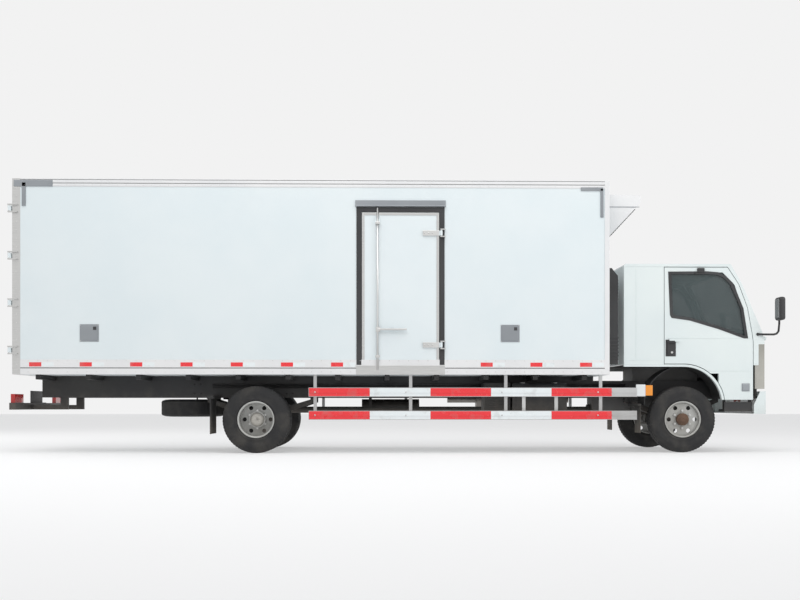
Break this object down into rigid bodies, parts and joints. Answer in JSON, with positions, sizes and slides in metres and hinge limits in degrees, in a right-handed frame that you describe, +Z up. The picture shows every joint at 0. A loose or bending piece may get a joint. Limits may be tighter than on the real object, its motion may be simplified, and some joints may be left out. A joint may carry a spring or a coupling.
{
  "type": "refrigerated truck",
  "caption": "Two-axle refrigerated truck: insulated box with side and rear doors, front fridge unit, tilting cab over the engine, side guards.",
  "frame": {"origin": "on the ground, at the middle of the truck's length and width", "axes": "+X forward, +Y to the truck's left, +Z up"},
  "size_m": [9.64, 2.59, 3.4],
  "materials": {
    "white_paint": "satin",
    "box_panel": "satin",
    "black_steel": "satin",
    "stainless": "brushed",
    "silver_paint": "satin",
    "black_plastic": "matte",
    "tyre_rubber": "matte",
    "rubber_sheet": "matte",
    "glass": "clear",
    "lamp_red": "gloss",
    "lamp_clear": "gloss",
    "cast_metal": "rough",
    "seat_cloth": "woven",
    "grey_trim": "matte",
    "eye_paint": "worn"
  },
  "bodies": {
    "chassis": {"ladder_frame": "black_steel", "runners": "black_steel", "front_axle": "black_steel", "rear_axle": "black_steel", "leaf_springs": "black_steel", "engine_block": "cast_metal", "gearbox": "cast_metal", "prop_shaft": "black_steel", "fuel_tank": "black_steel", "battery_box": "black_steel", "air_tanks": "black_steel", "exhaust": "stainless", "spare_wheel": "tyre_rubber", "side_guards": "silver_paint", "underrun_bar": "black_steel", "rear_lamps": "lamp_red", "plate_bracket": "black_steel", "mud_flaps": "rubber_sheet", "front_bumper": "white_paint", "front_tow_eye": "eye_paint", "box_floor": "box_panel", "box_roof": "box_panel", "box_front_wall": "box_panel", "box_left_wall": "box_panel", "box_right_wall": "box_panel", "rear_frame": "stainless", "box_hinges": "stainless", "fridge_unit": "white_paint", "air_intake": "black_plastic"},
    "cab": {"cab_shell": "white_paint", "front_panel": "white_paint", "cab_floor": "grey_trim", "windscreen": "glass", "rear_window": "glass", "dashboard": "grey_trim", "steering_wheel": "black_plastic", "driver_seat": "seat_cloth", "passenger_seat": "seat_cloth", "mirrors": "black_plastic", "headlamps": "lamp_clear", "arch_flanges": "white_paint", "arch_liners": "black_plastic", "cab_steps": "black_plastic"},
    "cab_door_left": {"cab_door_left": "white_paint", "door_glass_left": "glass"},
    "cab_door_right": {"cab_door_right": "white_paint", "door_glass_right": "glass"},
    "knuckle_left": {"knuckle_left": "cast_metal"},
    "knuckle_right": {"knuckle_right": "cast_metal"},
    "front_wheel_left": {"front_rim_left": "silver_paint", "front_tyre_left": "tyre_rubber"},
    "front_wheel_right": {"front_rim_right": "silver_paint", "front_tyre_right": "tyre_rubber"},
    "rear_wheels_left": {"rear_rims_left": "silver_paint", "rear_tyres_left": "tyre_rubber"},
    "rear_wheels_right": {"rear_rims_right": "silver_paint", "rear_tyres_right": "tyre_rubber"},
    "side_door": {"side_door": "box_panel"},
    "rear_door_left": {"rear_door_left": "box_panel"},
    "rear_door_right": {"rear_door_right": "box_panel"}
  },
  "joints": [
    {"name": "cab_tilt", "type": "hinge", "parent": "chassis", "child": "cab", "pos_m": [4.61, 0, 0.775], "axis": [0, 1, 0], "range_deg": [0, 40]},
    {"name": "cab_door_left_hinge", "type": "hinge", "parent": "cab", "child": "cab_door_left", "pos_m": [4.474, 1.048, 1.2], "axis": [0, 0, -1], "range_deg": [0, 70]},
    {"name": "cab_door_right_hinge", "type": "hinge", "parent": "cab", "child": "cab_door_right", "pos_m": [4.474, -1.048, 1.2], "axis": [0, 0, 1], "range_deg": [0, 70]},
    {"name": "steer_left", "type": "hinge", "parent": "chassis", "child": "knuckle_left", "pos_m": [3.61, 0.76, 0.42], "axis": [0, 0, 1], "range_deg": [-35, 35]},
    {"name": "steer_right", "type": "hinge", "parent": "chassis", "child": "knuckle_right", "pos_m": [3.61, -0.76, 0.42], "axis": [0, 0, 1], "range_deg": [-35, 35]},
    {"name": "front_roll_left", "type": "hinge", "parent": "knuckle_left", "child": "front_wheel_left", "pos_m": [3.61, 0.88, 0.42], "axis": [0, 1, 0], "continuous": true},
    {"name": "front_roll_right", "type": "hinge", "parent": "knuckle_right", "child": "front_wheel_right", "pos_m": [3.61, -0.88, 0.42], "axis": [0, 1, 0], "continuous": true},
    {"name": "rear_roll_left", "type": "hinge", "parent": "chassis", "child": "rear_wheels_left", "pos_m": [-1.77, 0.856, 0.42], "axis": [0, 1, 0], "continuous": true},
    {"name": "rear_roll_right", "type": "hinge", "parent": "chassis", "child": "rear_wheels_right", "pos_m": [-1.77, -0.856, 0.42], "axis": [0, 1, 0], "continuous": true},
    {"name": "side_door_hinge", "type": "hinge", "parent": "chassis", "child": "side_door", "pos_m": [0.54, -1.2, 2], "axis": [0, 0, 1], "range_deg": [0, 175]},
    {"name": "rear_door_left_hinge", "type": "hinge", "parent": "chassis", "child": "rear_door_left", "pos_m": [-4.795, 1.195, 2], "axis": [0, 0, -1], "range_deg": [0, 260]},
    {"name": "rear_door_right_hinge", "type": "hinge", "parent": "chassis", "child": "rear_door_right", "pos_m": [-4.795, -1.195, 2], "axis": [0, 0, 1], "range_deg": [0, 260]}
  ],
  "couplings": [
    {"joint": "steer_right", "follows": "steer_left", "ratio": 1}
  ]
}
